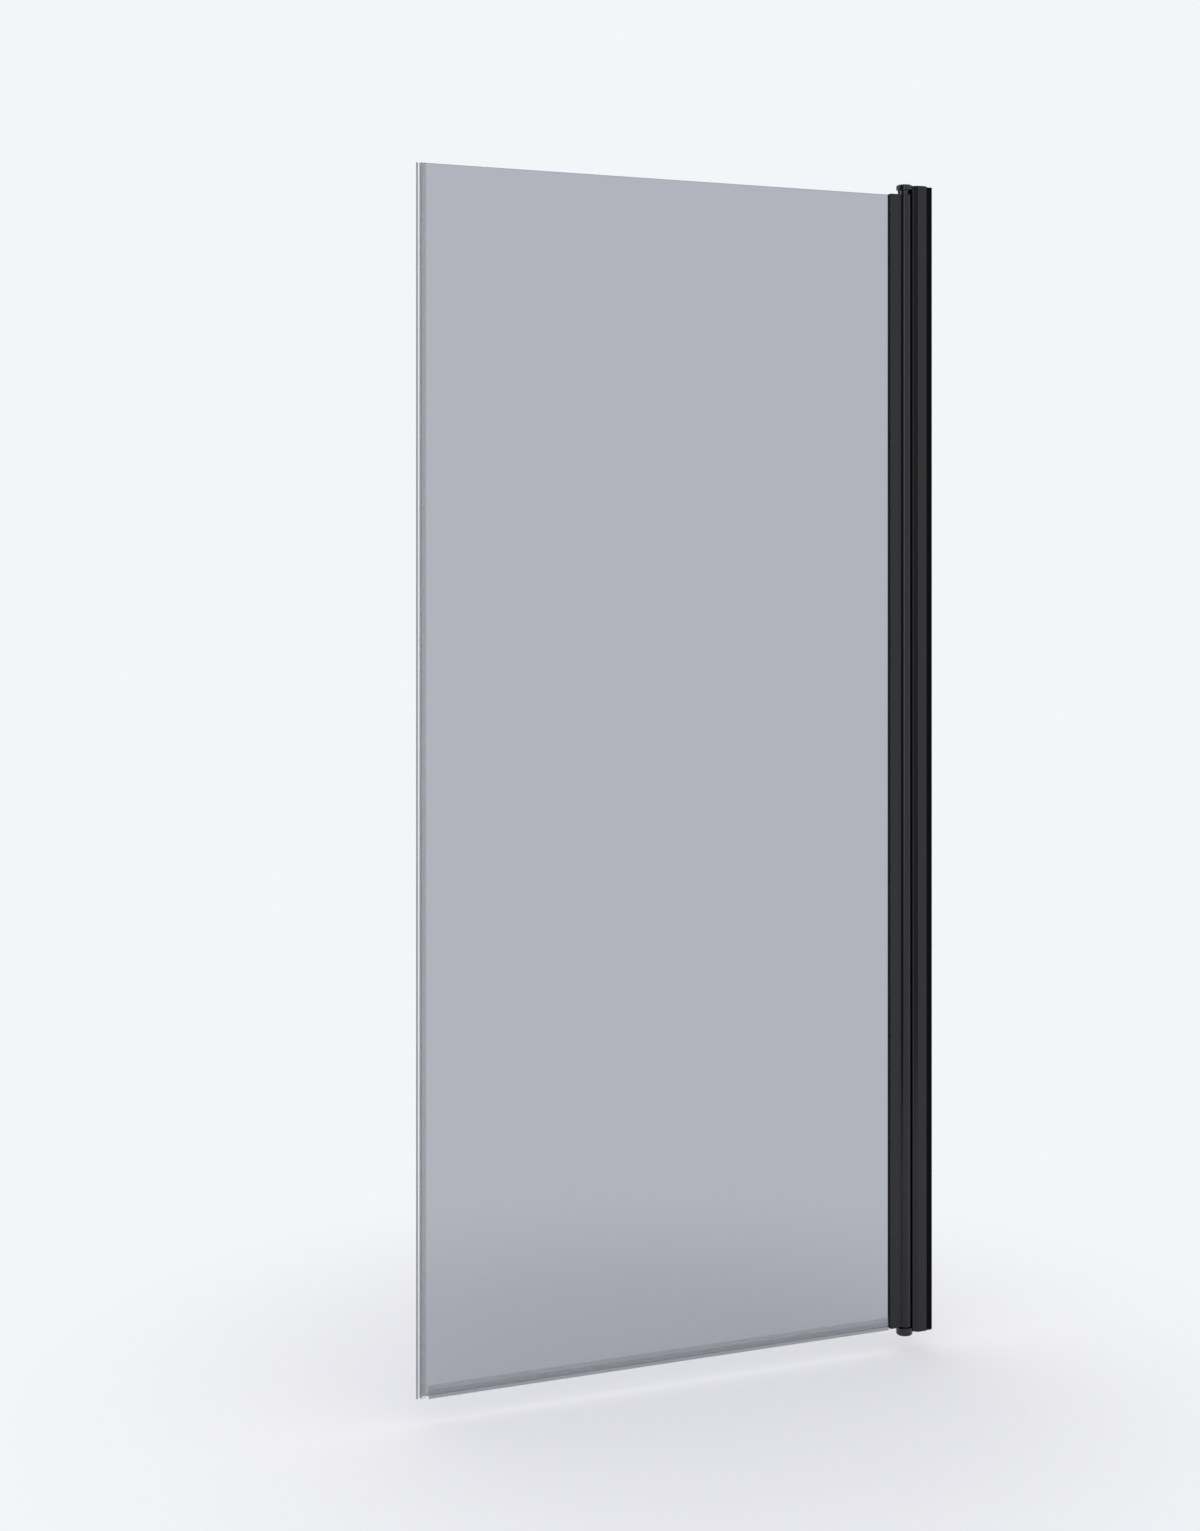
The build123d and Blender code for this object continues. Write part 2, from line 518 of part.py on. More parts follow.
with BuildPart() as follower_cam:
    with BuildSketch(Plane.XY.offset(LEAF_EXTRUSION_FOOT)):
        with Locations((PIVOT_X, 0)):
            Circle(PLUG_RADIUS)
            Circle(PIN_RADIUS + FIT_GAP, mode=Mode.SUBTRACT)
    extrude(amount=FOLLOWER_TOP - LEAF_EXTRUSION_FOOT)
    split(bisect_by=FOLLOWER_FACE, keep=Keep.TOP)
follower_cam.part.label = "follower_cam"
export_step(follower_cam.part, "parts/follower_cam.step")


def leaf_outline():
    """Outer outline of the leaf profile: glass clamp, narrow neck and hinge tube."""
    with BuildSketch() as outline:
        box_section(CLAMP_MOUTH_X, CLAMP_NEAR_X, CLAMP_FRONT_Y, CLAMP_BACK_Y)
        box_section(CLAMP_MOUTH_X, BACK_MOUTH_X, GLASS_HALF, CLAMP_BACK_Y, Mode.SUBTRACT)
        fillet(outline.vertices().group_by(Axis.X)[-1], CLAMP_SHOULDER)
        fillet(outline.vertices().group_by(Axis.Y)[0].sort_by(Axis.X)[0], PROFILE_ROUND)
        fillet(outline.vertices().group_by(Axis.Y)[-1].sort_by(Axis.X)[0], PROFILE_ROUND)
        box_section(CLAMP_NEAR_X - CLAMP_SHOULDER, PIVOT_X, -LEAF_NECK_WIDTH / 2, LEAF_NECK_WIDTH / 2)
        with Locations((PIVOT_X, 0)):
            Circle(TUBE_RADIUS)
            Circle(TUBE_BORE, mode=Mode.SUBTRACT)
    return outline.sketch


# Leaf profile: one extrusion with the glass slot and the tube of the hinge
with BuildPart() as leaf_profile:
    with BuildSketch(Plane.XY.offset(LEAF_EXTRUSION_FOOT)):
        add(leaf_outline())
        box_section(CLAMP_MOUTH_X, SLOT_FLOOR_X, SLOT_FRONT_Y, SLOT_BACK_Y, Mode.SUBTRACT)
        with Locations((PEG_PORT_X, 0)):
            Circle(PORT_RADIUS, mode=Mode.SUBTRACT)
    extrude(amount=LEAF_EXTRUSION_TOP - LEAF_EXTRUSION_FOOT)
    with Locations(*[plane.offset(CLAMP_WALL) for plane in GRUB_PLANES]):
        Hole(GRUB_RADIUS + FIT_GAP, CLAMP_WALL)
leaf_profile.part.label = "leaf_profile"
export_step(leaf_profile.part, "parts/leaf_profile.step")


def end_cover(outer_z, inward):
    """Moulded cover for an end of the leaf profile, with a peg in its port."""
    inner_z = outer_z + inward * END_COVER
    with BuildPart() as cover:
        with BuildSketch(Plane.XY.offset(outer_z)):
            add(leaf_outline())
        extrude(amount=inward * END_COVER)
        rim = cover.faces().filter_by(Axis.Z).sort_by(Axis.Z)[-1 if inward < 0 else 0].outer_wire().edges()
        fillet(rim, END_COVER_ROUND)
        with BuildSketch(Plane.XY.offset(inner_z)):
            with Locations((PEG_PORT_X, 0)):
                Circle(PORT_RADIUS - FIT_GAP)
        extrude(amount=inward * PEG_LENGTH)
        if inward > 0:
            with BuildSketch(Plane.XY.offset(inner_z)):
                rest_half = GLASS_HALF - FIT_GAP
                box_section(CLAMP_MOUTH_X + STRIP_SETBACK, GLASS_NEAR_X, -rest_half, rest_half)
            extrude(amount=GLASS_FOOT_GAP)
    return cover.part


leaf_top_cover = end_cover(LEAF_TOP_Z, -1)
leaf_top_cover.label = "leaf_top_cover"
export_step(leaf_top_cover, "parts/leaf_top_cover.step")

leaf_bottom_cover = end_cover(LEAF_FOOT, 1)
leaf_bottom_cover.label = "leaf_bottom_cover"
export_step(leaf_bottom_cover, "parts/leaf_bottom_cover.step")


# Guide in the top of the tube, with a square hole that slides on the spindle
with BuildPart() as leaf_guide:
    with BuildSketch(Plane.XY.offset(GUIDE_TOP_Z)):
        with Locations((PIVOT_X, 0)):
            Circle(PLUG_RADIUS)
            Rectangle(SHANK_WIDTH + 2 * FIT_GAP, SHANK_WIDTH + 2 * FIT_GAP, mode=Mode.SUBTRACT)
    extrude(amount=-GUIDE_LENGTH)
leaf_guide.part.label = "leaf_guide"
export_step(leaf_guide.part, "parts/leaf_guide.step")


# Glass pane with ground edges
with BuildPart() as glass_pane:
    with BuildSketch(Plane.XY.offset(GLASS_FOOT_Z)):
        box_section(GLASS_FREE_X, GLASS_NEAR_X, -GLASS_HALF, GLASS_HALF)
    extrude(amount=GLASS_TOP_Z - GLASS_FOOT_Z)
    chamfer(glass_pane.edges(), GLASS_ARRIS)
glass_pane.part.label = "glass_pane"
export_step(glass_pane.part, "parts/glass_pane.step")


# Packers between the glass edge and the floor of the slot
with BuildPart() as edge_packers:
    with BuildSketch(*[Plane.XY.offset(z - PACKER_LENGTH / 2) for z in PACKER_HEIGHTS]):
        box_section(GLASS_NEAR_X, SLOT_FLOOR_X, -GLASS_HALF, GLASS_HALF)
    extrude(amount=PACKER_LENGTH)
edge_packers.part.label = "edge_packers"
export_step(edge_packers.part, "parts/edge_packers.step")


def gasket(side, thickness, mouth_x):
    """Gasket strip in the slot, with a tapered lip at the mouth; side is -1 for the outside."""
    glass_y = side * GLASS_HALF
    wall_y = side * (GLASS_HALF + thickness)
    with BuildPart() as strip:
        with BuildSketch(Plane.XY.offset(LEAF_EXTRUSION_FOOT)):
            with BuildLine():
                Polyline((GLASS_NEAR_X, glass_y), (mouth_x - GASKET_LIP, glass_y),
                         (mouth_x - GASKET_LIP, glass_y + side * GASKET_LIP_TAPER),
                         (mouth_x, wall_y), (GLASS_NEAR_X, wall_y), close=True)
            make_face()
        extrude(amount=LEAF_EXTRUSION_TOP - LEAF_EXTRUSION_FOOT)
    return strip.part


front_gasket = gasket(-1, FRONT_GASKET, CLAMP_MOUTH_X)
front_gasket.label = "front_gasket"
export_step(front_gasket, "parts/front_gasket.step")

back_gasket = gasket(1, BACK_GASKET, BACK_MOUTH_X)
back_gasket.label = "back_gasket"
export_step(back_gasket, "parts/back_gasket.step")


# Flat strip that the grub screws press on the back gasket
with BuildPart() as clamp_strip:
    with BuildSketch(Plane.XY.offset(LEAF_EXTRUSION_FOOT + STRIP_END_GAP)):
        box_section(BACK_MOUTH_X + STRIP_SETBACK, GLASS_NEAR_X, GLASS_HALF + BACK_GASKET, SLOT_BACK_Y)
    extrude(amount=LEAF_EXTRUSION_TOP - LEAF_EXTRUSION_FOOT - 2 * STRIP_END_GAP)
clamp_strip.part.label = "clamp_strip"
export_step(clamp_strip.part, "parts/clamp_strip.step")


# Grub screws in the back wall of the clamp
with BuildPart() as clamp_screws:
    with BuildSketch(*GRUB_PLANES):
        Circle(GRUB_RADIUS)
    extrude(amount=CLAMP_WALL - GRUB_SINK)
    with BuildSketch(*[plane.offset(CLAMP_WALL - GRUB_SINK) for plane in GRUB_PLANES]):
        RegularPolygon(GRUB_SOCKET, 6)
    extrude(amount=-GRUB_SOCKET_DEPTH, mode=Mode.SUBTRACT)
clamp_screws.part.label = "clamp_screws"
export_step(clamp_screws.part, "parts/clamp_screws.step")


# Clear seal clipped on the free edge of the glass, with a soft bead on a web
EDGE_SEAL_WING_X = GLASS_FREE_X + EDGE_SEAL_WING
with BuildPart() as edge_seal:
    with BuildSketch(Plane.XY.offset(GLASS_FOOT_Z - EDGE_SEAL_FOOT_DROP)):
        clip_half = GRIP_HALF + EDGE_SEAL_WALL
        clip_x = GLASS_FREE_X - FIT_GAP
        box_section(clip_x - EDGE_SEAL_WALL, EDGE_SEAL_WING_X, -clip_half, clip_half)
        box_section(clip_x, EDGE_SEAL_WING_X, -GRIP_HALF, GRIP_HALF, Mode.SUBTRACT)
        bead_x, fin_half = -DOOR_WIDTH + EDGE_SEAL_BEAD, EDGE_SEAL_FIN / 2
        box_section(bead_x, clip_x - EDGE_SEAL_WALL / 2, -fin_half, fin_half)
        with Locations((bead_x, 0)):
            Circle(EDGE_SEAL_BEAD)
    extrude(amount=GLASS_TOP_Z - GLASS_FOOT_Z + EDGE_SEAL_FOOT_DROP)
edge_seal.part.label = "edge_seal"
export_step(edge_seal.part, "parts/edge_seal.step")


# Clear drip seal clipped on the lower edge of the glass, with a wiper and a lip that sheds water inwards
with BuildPart() as bottom_seal:
    seal_free_x = EDGE_SEAL_WING_X + BOTTOM_SEAL_GAP
    seal_near_x = CLAMP_MOUTH_X - GASKET_LIP - BOTTOM_SEAL_END_GAP
    grip_z = GLASS_FOOT_Z - FIT_GAP
    base_z = grip_z - BOTTOM_SEAL_BASE
    wing_z = GLASS_FOOT_Z + BOTTOM_SEAL_RISE
    thin_half = GRIP_HALF + BOTTOM_SEAL_THIN
    thick_half = GRIP_HALF + BOTTOM_SEAL_THICK
    with BuildSketch(Plane.YZ.offset(seal_free_x)):
        box_section(-thin_half, thin_half, base_z, wing_z)
        box_section(-thick_half, thick_half, base_z, GLASS_FOOT_Z + BOTTOM_SEAL_STEP)
        box_section(-GRIP_HALF, GRIP_HALF, grip_z, wing_z, Mode.SUBTRACT)
        box_section(-thick_half, -thick_half + WIPER_THICKNESS, base_z - WIPER_DROP, base_z)
        with BuildLine():
            Polyline((thick_half - WIPER_THICKNESS, base_z), (thick_half, base_z + WIPER_THICKNESS),
                     (thick_half + DRIP_LIP_REACH, base_z - WIPER_DROP + WIPER_THICKNESS),
                     (thick_half + DRIP_LIP_REACH - WIPER_THICKNESS, base_z - WIPER_DROP), close=True)
        make_face()
    extrude(amount=seal_near_x - seal_free_x)
bottom_seal.part.label = "bottom_seal"
export_step(bottom_seal.part, "parts/bottom_seal.step")
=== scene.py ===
import math

import bmesh
import bpy
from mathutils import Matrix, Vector


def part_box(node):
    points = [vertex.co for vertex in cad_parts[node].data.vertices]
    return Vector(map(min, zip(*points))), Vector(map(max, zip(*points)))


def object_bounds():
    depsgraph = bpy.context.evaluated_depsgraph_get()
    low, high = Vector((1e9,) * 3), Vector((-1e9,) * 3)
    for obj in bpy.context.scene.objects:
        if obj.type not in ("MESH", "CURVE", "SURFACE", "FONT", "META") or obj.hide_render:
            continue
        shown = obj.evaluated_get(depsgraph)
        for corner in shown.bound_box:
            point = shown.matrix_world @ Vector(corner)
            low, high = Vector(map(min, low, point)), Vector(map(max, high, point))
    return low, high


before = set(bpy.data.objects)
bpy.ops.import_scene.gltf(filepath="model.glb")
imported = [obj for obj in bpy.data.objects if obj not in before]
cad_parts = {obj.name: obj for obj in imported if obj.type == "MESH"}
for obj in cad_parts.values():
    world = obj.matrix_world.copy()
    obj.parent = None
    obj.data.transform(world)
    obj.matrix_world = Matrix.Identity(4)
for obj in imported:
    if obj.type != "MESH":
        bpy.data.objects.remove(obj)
cad_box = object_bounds()


# Wall channel
# A thin U of extruded aluminium, screwed flat to the wall before the post slides over it.
# It is anodised black, drawn darker and duller than the powder coat of the post as painted shade for the
# shadow in its recess beside the post.
def linear(hex_colour):
    """Turns an sRGB hex value into the linear colour that a shader takes."""
    channels = [int(hex_colour[i:i + 2], 16) / 255 for i in (1, 3, 5)]
    return [c / 12.92 if c <= 0.04045 else ((c + 0.055) / 1.055) ** 2.4 for c in channels] + [1.0]


def add_node(owner, kind, settings=None, links=None):
    """Adds one shader node: settings fill its sockets or its own options, links join sockets to outputs."""
    node = owner.node_tree.nodes.new(kind)
    for name, value in (settings or {}).items():
        if isinstance(name, int) or name in node.inputs:
            node.inputs[name].default_value = value
        else:
            setattr(node, name, value)
    for name, output in (links or {}).items():
        owner.node_tree.links.new(output, node.inputs[name])
    return node


def new_material(name):
    """An empty material, ready for its own nodes."""
    material = bpy.data.materials.new(name)
    material.use_nodes = True
    material.node_tree.nodes.clear()
    return material


def pattern_place(material, wavelengths):
    """Object coordinates scaled so that one unit of a noise is that many metres along X, Y and Z."""
    place = add_node(material, "ShaderNodeTexCoord")
    return add_node(material, "ShaderNodeMapping", {"Scale": [1 / size for size in wavelengths]},
                    {"Vector": place.outputs["Object"]})


def finish_material(material, settings, links=None):
    """Ends a material in one Principled surface."""
    surface = add_node(material, "ShaderNodeBsdfPrincipled", settings, links)
    add_node(material, "ShaderNodeOutputMaterial", {}, {"Surface": surface.outputs["BSDF"]})
    return surface


def give(material, *names):
    """Puts a material on CAD nodes, which keep their meshes."""
    for name in names:
        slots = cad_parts[name].data.materials
        slots.clear()
        slots.append(material)


def die_lines(material, spacing, depth):
    """Fine straight lines along the height, which the die leaves on an extrusion."""
    place = pattern_place(material, (spacing, spacing, DIE_LINE_LENGTH))
    lines = add_node(material, "ShaderNodeTexNoise", {"Scale": 1.0, "Detail": 2.0},
                     {"Vector": place.outputs["Vector"]})
    return add_node(material, "ShaderNodeBump", {"Strength": 1.0, "Distance": depth},
                    {"Height": lines.outputs["Fac"]})


# Black anodised aluminium: a dull deep black with the lines of the die under it; its extra darkness and weak
# gloss are painted shade for the recess beside the post.
# The real lines are about 0.1 mm apart, and are drawn 0.8 mm apart so that they can show.
ANODISED_BLACK_PAINTED_SHADE = "#050506"
DIE_LINE_SPACING = 0.0008
DIE_LINE_LENGTH = 0.25
DIE_LINE_DEPTH = 0.000004
anodised_and_painted_shade = new_material("black_anodised_aluminium_painted_shade")
lines = die_lines(anodised_and_painted_shade, DIE_LINE_SPACING, DIE_LINE_DEPTH)
# The near-black base and the low Specular IOR Level are painted shade as well as the anodising.
finish_material(anodised_and_painted_shade, {"Base Color": linear(ANODISED_BLACK_PAINTED_SHADE), "Roughness": 0.42,
                           "Specular IOR Level": 0.05}, {"Normal": lines.outputs["Normal"]})
give(anodised_and_painted_shade, "wall_channel")


# Hinge post
# An extruded sleeve that slides over the channel, with flat lands beside the round seat of the hinge.
# It is cut to length and powder coated black.
# Black powder coat on aluminium: satin, with the faint orange peel of a baked powder, 1.4 mm across.
POWDER_BLACK = "#0c0d0e"
PEEL_SIZE = 0.0014
PEEL_DEPTH = 0.000004
powder_coat = new_material("black_powder_coat")
place = pattern_place(powder_coat, (PEEL_SIZE, PEEL_SIZE, PEEL_SIZE))
peel = add_node(powder_coat, "ShaderNodeTexNoise", {"Scale": 1.0, "Detail": 2.0, "Roughness": 0.45},
                {"Vector": place.outputs["Vector"]})
orange_peel = add_node(powder_coat, "ShaderNodeBump", {"Strength": 1.0, "Distance": PEEL_DEPTH},
                       {"Height": peel.outputs["Fac"]})
finish_material(powder_coat, {"Base Color": linear(POWDER_BLACK), "Roughness": 0.21,
                              "Specular IOR Level": 0.42}, {"Normal": orange_peel.outputs["Normal"]})
give(powder_coat, "hinge_post")


# Lock screws and their covers
# Three pan head screws hold the post on the channel from the inner side, where the height is even.
# They are turned from stainless steel, and each has a snap-on cover moulded in black nylon.
# Stainless steel: bare and bright, with fine hairlines round it from turning, drawn 0.4 mm apart.
STEEL = "#bdbbb6"
TURNED_LINE_SPACING = 0.0004
TURNED_LINE_LENGTH = 0.02
TURNED_LINE_DEPTH = 0.000004
steel = new_material("turned_stainless_steel")
place = pattern_place(steel, (TURNED_LINE_LENGTH, TURNED_LINE_SPACING, TURNED_LINE_SPACING))
hairlines = add_node(steel, "ShaderNodeTexNoise", {"Scale": 1.0, "Detail": 3.0},
                     {"Vector": place.outputs["Vector"]})
turned = add_node(steel, "ShaderNodeBump", {"Strength": 1.0, "Distance": TURNED_LINE_DEPTH},
                  {"Height": hairlines.outputs["Fac"]})
finish_material(steel, {"Base Color": linear(STEEL), "Metallic": 1.0, "Roughness": 0.28},
                {"Normal": turned.outputs["Normal"]})
give(steel, "lock_screws")

# Moulded black nylon: half gloss, with the fine grain of an eroded mould, drawn 0.5 mm across.
NYLON_BLACK = "#08090a"
GRAIN_SIZE = 0.0005
GRAIN_DEPTH = 0.000006
nylon = new_material("moulded_black_nylon")
place = pattern_place(nylon, (GRAIN_SIZE, GRAIN_SIZE, GRAIN_SIZE))
grain = add_node(nylon, "ShaderNodeTexNoise", {"Scale": 1.0, "Detail": 2.0},
                 {"Vector": place.outputs["Vector"]})
eroded = add_node(nylon, "ShaderNodeBump", {"Strength": 1.0, "Distance": GRAIN_DEPTH},
                  {"Height": grain.outputs["Fac"]})
finish_material(nylon, {"Base Color": linear(NYLON_BLACK), "Roughness": 0.22, "IOR": 1.53},
                {"Normal": eroded.outputs["Normal"]})
give(nylon, "screw_covers")


# Post seal
# A soft lip of black rubber, pushed into the groove of the seat, which keeps water out of the hinge.
# EPDM rubber: dull, with lines along its length from the extruder, drawn 0.5 mm apart.
RUBBER_BLACK = "#09090a"
RUBBER_LINE_SPACING = 0.0005
RUBBER_LINE_DEPTH = 0.000010
rubber = new_material("black_epdm_rubber")
lines = die_lines(rubber, RUBBER_LINE_SPACING, RUBBER_LINE_DEPTH)
finish_material(rubber, {"Base Color": linear(RUBBER_BLACK), "Roughness": 0.62,
                         "Specular IOR Level": 0.3}, {"Normal": lines.outputs["Normal"]})
give(rubber, "post_seal")


# Bottom cap, its screws and the lower pivot
# The cap is moulded in black nylon and closes the post. Two black screws fix it, and a stainless pin is
# pressed into its nose. A cam of the same nylon sits round the pin, keyed to the nose.
give(nylon, "bottom_cap", "fixed_cam")
give(steel, "bottom_pin")

# Black oxide on steel: nearly black metal, a little oily.
OXIDE_BLACK = "#1b1c1e"
black_steel = new_material("black_oxide_steel")
finish_material(black_steel, {"Base Color": linear(OXIDE_BLACK), "Metallic": 1.0, "Roughness": 0.36})
give(black_steel, "bottom_cap_screws")


# Top cap, its screws and its bush
# The cap is the same moulding work as the lower one, with a tapered neck that holds an acetal bush.
give(nylon, "top_cap")
give(black_steel, "top_cap_screws")

# Natural acetal: milky white and slippery, lit a little from within.
ACETAL_WHITE = "#dddcd5"
ACETAL_DEPTH = 0.0015
acetal = new_material("natural_acetal")
finish_material(acetal, {"Base Color": linear(ACETAL_WHITE), "Roughness": 0.38, "IOR": 1.48,
                         "Subsurface Weight": 0.15, "Subsurface Scale": ACETAL_DEPTH})
give(acetal, "top_bush")


# Top spindle and its ring
# The spindle is turned from stainless steel with a milled square shank, and a ring keeps it in the bush.
give(steel, "top_spindle", "spindle_clip")


# Leaf profile and its end covers
# One aluminium extrusion with the glass clamp and the tube of the hinge, powder coated like the post.
# Its two ends are closed by moulded covers, pegged into the profile.
give(powder_coat, "leaf_profile")
give(nylon, "leaf_top_cover", "leaf_bottom_cover")


# Guide and lifting cam in the tube
# Two moulded plugs, pressed into the ends of the tube: an acetal guide that slides on the square shank,
# and a nylon cam that climbs the fixed one as the door turns.
give(acetal, "leaf_guide")
give(nylon, "follower_cam")


# Glass pane
# One sheet of 6 mm toughened glass, tinted grey in the melt, with flat faces and ground edges.
# Grey float glass: the faces are clear and glossy, and the ground edges are frosted.
# The tint is what the whole thickness lets through, because each face takes the root of it.
GLASS_TINT = linear("#b6b8be")
FACE_TINT = [math.sqrt(share) for share in GLASS_TINT]
GLASS_IOR = 1.5
EDGE_FROST = 0.55
FACE_LIMIT = 0.9            # a normal that faces the front or back more than this is on a face
smoked_glass = new_material("smoked_grey_glass")
place = add_node(smoked_glass, "ShaderNodeTexCoord")
across = add_node(smoked_glass, "ShaderNodeSeparateXYZ", {}, {"Vector": place.outputs["Normal"]})
facing = add_node(smoked_glass, "ShaderNodeMath", {"operation": "ABSOLUTE"}, {0: across.outputs["Y"]})
edge = add_node(smoked_glass, "ShaderNodeMath", {"operation": "LESS_THAN", 1: FACE_LIMIT},
                {0: facing.outputs["Value"]})
frost = add_node(smoked_glass, "ShaderNodeMath", {"operation": "MULTIPLY", 1: EDGE_FROST},
                 {0: edge.outputs["Value"]})
pane = add_node(smoked_glass, "ShaderNodeBsdfPrincipled",
                {"Base Color": GLASS_TINT, "IOR": GLASS_IOR, "Transmission Weight": 1.0},
                {"Roughness": frost.outputs["Value"]})
# Rays that only carry light go straight through both faces, so that the floor is lit through the glass.
rays = add_node(smoked_glass, "ShaderNodeLightPath")
carries = add_node(smoked_glass, "ShaderNodeMath", {"operation": "MAXIMUM"},
                   {0: rays.outputs["Is Shadow Ray"], 1: rays.outputs["Is Diffuse Ray"]})
through = add_node(smoked_glass, "ShaderNodeBsdfTransparent", {"Color": FACE_TINT})
mixed = add_node(smoked_glass, "ShaderNodeMixShader", {},
                 {0: carries.outputs["Value"], 1: pane.outputs["BSDF"], 2: through.outputs["BSDF"]})
add_node(smoked_glass, "ShaderNodeOutputMaterial", {}, {"Surface": mixed.outputs["Shader"]})
give(smoked_glass, "glass_pane")


# Gaskets, clamp strip, grub screws and packers
# The pane sits on packers in the slot of the leaf profile, between two rubber gaskets.
# Grub screws in the back wall press a flat strip of mill aluminium on the back gasket.
give(rubber, "front_gasket", "back_gasket")
give(acetal, "edge_packers")
give(steel, "clamp_screws")

# Mill aluminium: bare and pale, with the lines of the die.
MILL_ALUMINIUM = "#c6c8ca"
mill_aluminium = new_material("mill_finish_aluminium")
lines = die_lines(mill_aluminium, DIE_LINE_SPACING, DIE_LINE_DEPTH)
finish_material(mill_aluminium, {"Base Color": linear(MILL_ALUMINIUM), "Metallic": 1.0,
                                 "Roughness": 0.34}, {"Normal": lines.outputs["Normal"]})
give(mill_aluminium, "clamp_strip")


# Edge seal and drip seal
# Two strips of soft PVC, extruded together from clear and grey stock, that grip the edges of the glass.
# The grip and the web are clear, and the soft parts that close and wipe are grey.
# Each zone is as wide as on the section of the strip, counted from its tip in metres.
# Soft PVC: half clear, smooth from the die, a little grey where it is thick.
VINYL_GREY = "#8d9198"
VINYL_ROUGHNESS = 0.16


def banded_vinyl(name, axis, tip, zones):
    """Soft PVC in zones along one axis: each is its far end, in metres from the tip, and its opacity."""
    material = new_material(name)
    place = add_node(material, "ShaderNodeTexCoord")
    parts = add_node(material, "ShaderNodeSeparateXYZ", {}, {"Vector": place.outputs["Object"]})
    from_tip = add_node(material, "ShaderNodeMath", {"operation": "SUBTRACT", 1: tip},
                        {0: parts.outputs[axis]})
    opacity = add_node(material, "ShaderNodeValue").outputs["Value"]
    opacity.default_value = zones[0][1]
    for (zone_end, zone_opacity), (_, next_opacity) in zip(zones, zones[1:]):
        past = add_node(material, "ShaderNodeMath", {"operation": "GREATER_THAN", 1: zone_end},
                        {0: from_tip.outputs["Value"]})
        step = add_node(material, "ShaderNodeMath",
                        {"operation": "MULTIPLY_ADD", 1: next_opacity - zone_opacity},
                        {0: past.outputs["Value"], 2: opacity})
        opacity = step.outputs["Value"]
    finish_material(material, {"Base Color": linear(VINYL_GREY), "Roughness": VINYL_ROUGHNESS, "IOR": 1.53},
                    {"Alpha": opacity})
    return material


BEAD_WIDTH = 0.0032
WEB_END = 0.0063
GLASS_CORNER = 0.0085
EDGE_SEAL_WIDTH = 0.0160
edge_zones = [(BEAD_WIDTH, 0.62), (WEB_END, 0.03), (GLASS_CORNER, 0.5), (EDGE_SEAL_WIDTH, 0.13)]
edge_vinyl = banded_vinyl("two_tone_pvc_upright", "X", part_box("edge_seal")[0][0], edge_zones)
give(edge_vinyl, "edge_seal")

WIPER_HEIGHT = 0.0052
GRIP_STEP = 0.0118
DRIP_SEAL_HEIGHT = 0.0190
drip_zones = [(WIPER_HEIGHT, 0.6), (GRIP_STEP, 0.2), (DRIP_SEAL_HEIGHT, 0.1)]
drip_vinyl = banded_vinyl("two_tone_pvc_level", "Z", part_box("bottom_seal")[0][2], drip_zones)
give(drip_vinyl, "bottom_seal")


# Floor and backdrop
# A matt pale floor takes the shadow and fades into the backdrop away from the door.
# The backdrop is seen by the camera and in the glass and gloss, and a plain even light comes from all round.
FLOOR_HALF = 30.0
FLOOR_GAP = 0.025           # the door hangs from the wall, clear of what is under it
FADE_START, FADE_END = 0.4, 1.2
NEAR_FADE = 0.25            # share of the backdrop in the floor before the fade starts
FLOOR_COLOUR = "#f8f8fd"
BACKDROP_COLOUR = "#f4f5f9"
WORLD_LIGHT = 1.1
floor_mesh = bpy.data.meshes.new("floor")
floor = bpy.data.objects.new("floor", floor_mesh)
bpy.context.scene.collection.objects.link(floor)
shape = bmesh.new()
bmesh.ops.create_grid(shape, x_segments=1, y_segments=1, size=FLOOR_HALF)
bmesh.ops.translate(shape, verts=shape.verts, vec=(0, 0, cad_box[0][2] - FLOOR_GAP))
shape.to_mesh(floor_mesh)
shape.free()
floor_paint = new_material("matt_pale_floor")
place = add_node(floor_paint, "ShaderNodeTexCoord")
door_middle = [-(cad_box[0][0] + cad_box[1][0]) / 2, 0, -cad_box[0][2]]
from_door = add_node(floor_paint, "ShaderNodeMapping", {"Location": door_middle},
                     {"Vector": place.outputs["Object"]})
distance = add_node(floor_paint, "ShaderNodeVectorMath", {"operation": "LENGTH"},
                    {0: from_door.outputs["Vector"]})
fade = add_node(floor_paint, "ShaderNodeMapRange",
                {"interpolation_type": "SMOOTHSTEP", "From Min": FADE_START, "From Max": FADE_END,
                 "To Min": NEAR_FADE},
                {"Value": distance.outputs["Value"]})
paint = add_node(floor_paint, "ShaderNodeBsdfPrincipled",
                 {"Base Color": linear(FLOOR_COLOUR), "Roughness": 0.9, "Specular IOR Level": 0.1})
glow = add_node(floor_paint, "ShaderNodeEmission", {"Color": linear(BACKDROP_COLOUR), "Strength": 1.0})
faded = add_node(floor_paint, "ShaderNodeMixShader", {},
                 {0: fade.outputs["Result"], 1: paint.outputs["BSDF"], 2: glow.outputs["Emission"]})
add_node(floor_paint, "ShaderNodeOutputMaterial", {}, {"Surface": faded.outputs["Shader"]})
floor_mesh.materials.append(floor_paint)

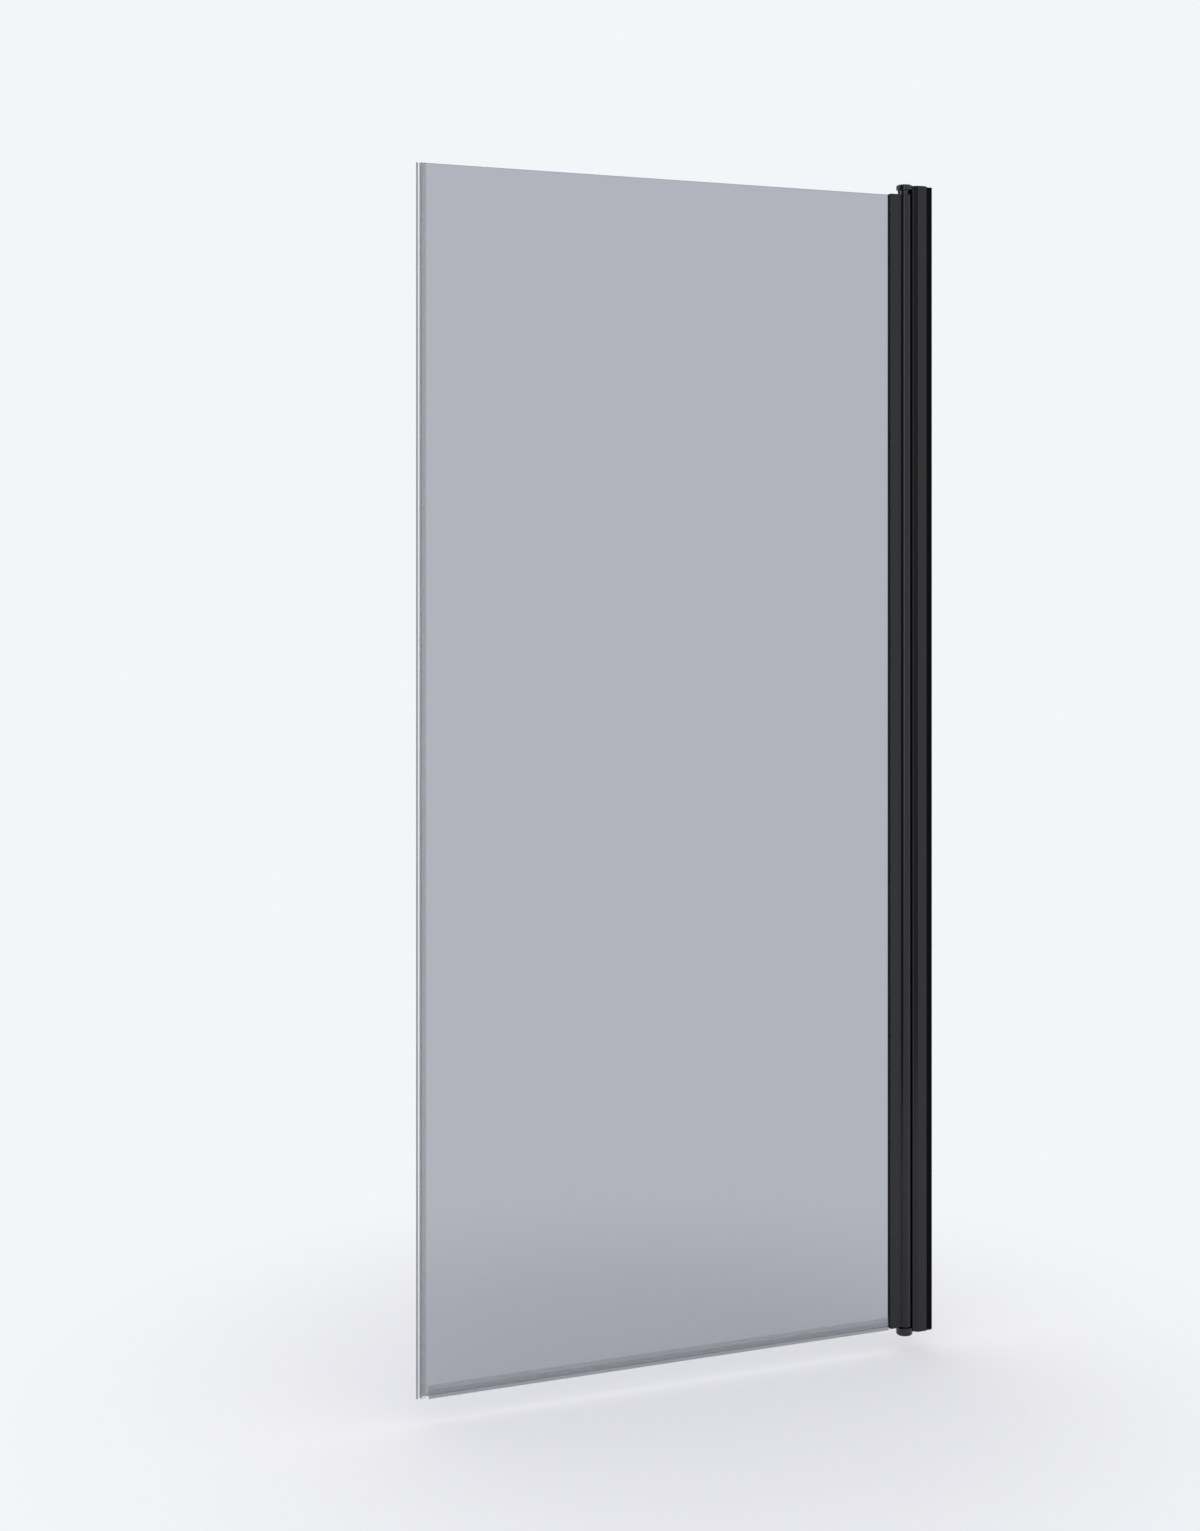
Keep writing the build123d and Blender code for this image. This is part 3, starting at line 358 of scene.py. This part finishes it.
world = bpy.data.worlds.new("studio")
bpy.context.scene.world = world
world.use_nodes = True
world.node_tree.nodes.clear()
rays = add_node(world, "ShaderNodeLightPath")
direct = add_node(world, "ShaderNodeMath", {"operation": "MAXIMUM"},
                  {0: rays.outputs["Is Camera Ray"], 1: rays.outputs["Is Transmission Ray"]})
seen = add_node(world, "ShaderNodeMath", {"operation": "MAXIMUM"},
                {0: direct.outputs["Value"], 1: rays.outputs["Is Glossy Ray"]})
light = add_node(world, "ShaderNodeBackground", {"Strength": WORLD_LIGHT})
backdrop = add_node(world, "ShaderNodeBackground", {"Color": linear(BACKDROP_COLOUR), "Strength": 1.0})
either = add_node(world, "ShaderNodeMixShader", {},
                  {0: seen.outputs["Value"], 1: light.outputs["Background"],
                   2: backdrop.outputs["Background"]})
add_node(world, "ShaderNodeOutputWorld", {}, {"Surface": either.outputs["Shader"]})


# Lamp and camera
# One tall narrow lamp behind the camera draws the fine line down the round tube. A dark flag on the left,
# seen only in gloss, darkens the flank of the tube beside that line.
# The camera has the photograph's place and lens, found from its vanishing points.
STRIP_PLACE = Vector((-2.25, -3.85, 1.35))
STRIP_AIM = Vector((-0.0466, 0, 1.15))     # on the axis of the hinge
STRIP_WIDTH, STRIP_HEIGHT, STRIP_POWER = 0.12, 2.6, 12.0
strip_data = bpy.data.lights.new("strip_lamp", "AREA")
strip_data.shape = "RECTANGLE"
strip_data.size = STRIP_WIDTH
strip_data.size_y = STRIP_HEIGHT
strip_data.energy = STRIP_POWER
strip = bpy.data.objects.new("strip_lamp", strip_data)
bpy.context.scene.collection.objects.link(strip)
strip.location = STRIP_PLACE
strip.rotation_euler = (STRIP_AIM - STRIP_PLACE).to_track_quat("-Z", "Y").to_euler()

FLAG_X = -1.5               # left of the door, square to it
FLAG_NEAR_Y, FLAG_FAR_Y = -1.42, -0.06
FLAG_HEIGHT = 4.0
FLAG_BLACK = "#0a0a0a"
flag_mesh = bpy.data.meshes.new("dark_flag")
flag = bpy.data.objects.new("dark_flag", flag_mesh)
bpy.context.scene.collection.objects.link(flag)
shape = bmesh.new()
corners = [(FLAG_X, y, z) for y, z in ((FLAG_NEAR_Y, -FLAG_HEIGHT / 2), (FLAG_FAR_Y, -FLAG_HEIGHT / 2),
                                       (FLAG_FAR_Y, FLAG_HEIGHT), (FLAG_NEAR_Y, FLAG_HEIGHT))]
shape.faces.new([shape.verts.new(corner) for corner in corners])
shape.to_mesh(flag_mesh)
shape.free()
flag_cloth = new_material("black_flag_cloth")
cloth = add_node(flag_cloth, "ShaderNodeEmission", {"Color": linear(FLAG_BLACK), "Strength": 1.0})
add_node(flag_cloth, "ShaderNodeOutputMaterial", {}, {"Surface": cloth.outputs["Emission"]})
flag_mesh.materials.append(flag_cloth)
flag.visible_camera = False
flag.visible_diffuse = False
flag.visible_transmission = False
flag.visible_shadow = False

CAMERA_PLACE = Vector((-1.960, -3.292, 1.291))
CAMERA_TURN = math.radians(-22.55)
LENS = 53.5
SENSOR_WIDTH = 36.0
RISE = -0.1397              # lens shift, as a share of the frame's longer side
camera_data = bpy.data.cameras.new("camera")
camera_data.lens = LENS
camera_data.sensor_width = SENSOR_WIDTH
camera_data.shift_y = RISE
camera = bpy.data.objects.new("camera", camera_data)
bpy.context.scene.collection.objects.link(camera)
camera.location = CAMERA_PLACE
camera.rotation_euler = (math.radians(90), 0, CAMERA_TURN)
bpy.context.scene.camera = camera
bpy.context.scene.view_settings.view_transform = "Standard"
